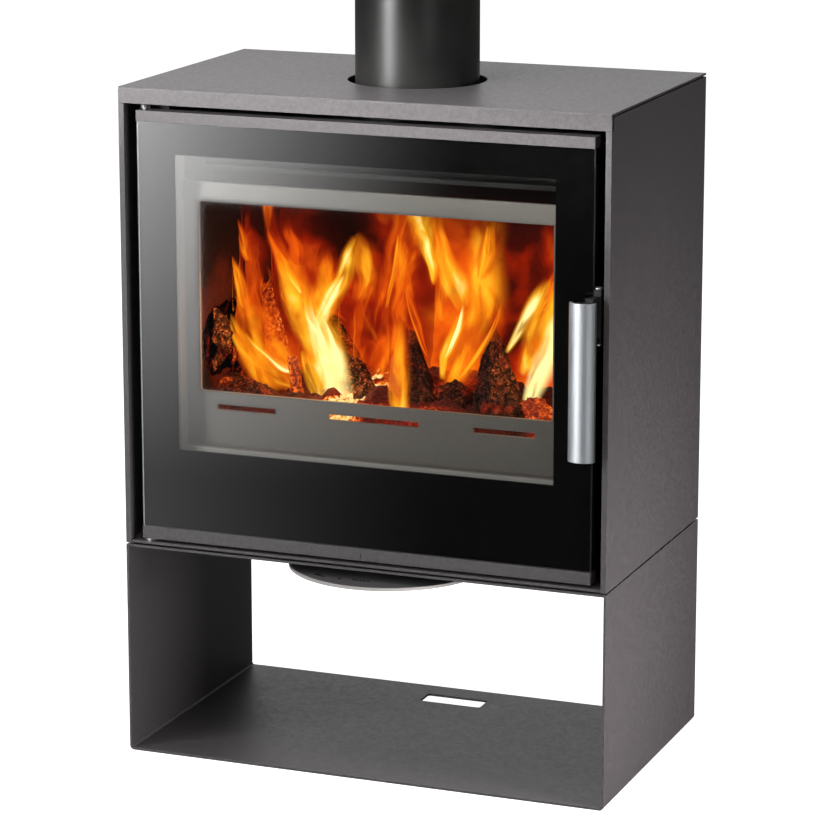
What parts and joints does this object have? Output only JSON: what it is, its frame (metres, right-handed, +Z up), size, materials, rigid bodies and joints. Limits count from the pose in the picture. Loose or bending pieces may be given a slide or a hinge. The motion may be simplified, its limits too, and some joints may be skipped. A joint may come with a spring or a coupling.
{
  "type": "wood burning stove",
  "caption": "Free-standing steel wood burning stove on an open log-store base, with a glazed hinged fire door, an upright handle, an air control disc and a top flue pipe.",
  "frame": {"origin": "on the floor, under the middle of the steel body", "axes": "+X to the right seen from the front, +Y to the back, +Z up"},
  "size_m": [0.632, 0.406, 1.062],
  "materials": {
    "casing_paint": "matt textured",
    "door_bar_paint": "matt textured",
    "firebox_paint": "matt",
    "bar_paint": "matt",
    "dark_steel": "matt",
    "flue_paint": "satin",
    "zinc_steel": "satin",
    "cast_iron": "rough",
    "vermiculite": "rough",
    "disc_paint": "matt",
    "bright_rim": "satin",
    "ceramic_glass": "polished",
    "black_print": "gloss",
    "glass_fibre": "woven",
    "bush_brass": "satin",
    "satin_aluminium": "satin",
    "handle_core": "matt"
  },
  "bodies": {
    "stove_body": {"base_shell": "casing_paint", "base_top_plate": "casing_paint", "body_floor_plate": "casing_paint", "right_side_panel": "casing_paint", "left_side_panel": "casing_paint", "rear_panel": "casing_paint", "top_plate": "casing_paint", "firebox_front_plate": "firebox_paint", "firebox_recess_rim": "firebox_paint", "air_wash_bar": "bar_paint", "firebox_rails": "dark_steel", "firebox_shell": "dark_steel", "firebox_front_flange": "dark_steel", "wash_air_duct": "dark_steel", "wash_air_risers": "dark_steel", "hearth_plate": "dark_steel", "upper_baffle_plate": "dark_steel", "air_gate_plate": "dark_steel", "air_inlet_collar": "dark_steel", "air_riser": "dark_steel", "upper_hinge_bracket": "dark_steel", "latch_keeper": "dark_steel", "flue_pipe": "flue_paint", "flue_spigot": "flue_paint", "joining_bolts": "zinc_steel", "joining_nuts": "zinc_steel", "spacer_washers": "zinc_steel", "rear_panel_screws": "zinc_steel", "ash_pan": "zinc_steel", "ash_pan_runners": "zinc_steel", "air_disc_bolt": "zinc_steel", "air_disc_nut": "zinc_steel", "upper_hinge_pin": "zinc_steel", "lower_hinge_pin": "zinc_steel", "hinge_thrust_washer": "zinc_steel", "door_closing_spring": "zinc_steel", "keeper_roller": "zinc_steel", "grate": "cast_iron", "hearth_bricks": "vermiculite", "right_lining": "vermiculite", "left_lining": "vermiculite", "rear_linings": "vermiculite", "lower_baffle": "vermiculite"},
    "door": {"door_top_bar": "door_bar_paint", "door_bottom_bar": "door_bar_paint", "door_glass": "ceramic_glass", "glass_black_border": "black_print", "glass_gasket": "glass_fibre", "door_frame": "dark_steel", "seal_channel": "dark_steel", "door_seal_rope": "glass_fibre", "hinge_bushes": "bush_brass", "latch_bracket": "dark_steel", "handle_pivot_pin": "zinc_steel"},
    "handle": {"handle_lever": "dark_steel", "handle_bar": "satin_aluminium", "handle_core": "handle_core", "handle_screws": "zinc_steel"},
    "air_disc": {"air_disc": "disc_paint", "air_disc_rim": "bright_rim"}
  },
  "joints": [
    {"name": "door_swing", "type": "hinge", "parent": "stove_body", "child": "door", "pos_m": [-0.287, -0.172, 0.549], "axis": [0, 0, -1], "range_deg": [0, 105], "stiffness_Nm_per_rad": 0.5},
    {"name": "handle_turn", "type": "hinge", "parent": "door", "child": "handle", "pos_m": [0.301, -0.184, 0.6075], "axis": [0, 0, 1], "range_deg": [0, 20]},
    {"name": "air_disc_turn", "type": "hinge", "parent": "stove_body", "child": "air_disc", "pos_m": [0, -0.092, 0.2541], "axis": [0, 0, 1], "range_deg": [-40, 40]}
  ]
}
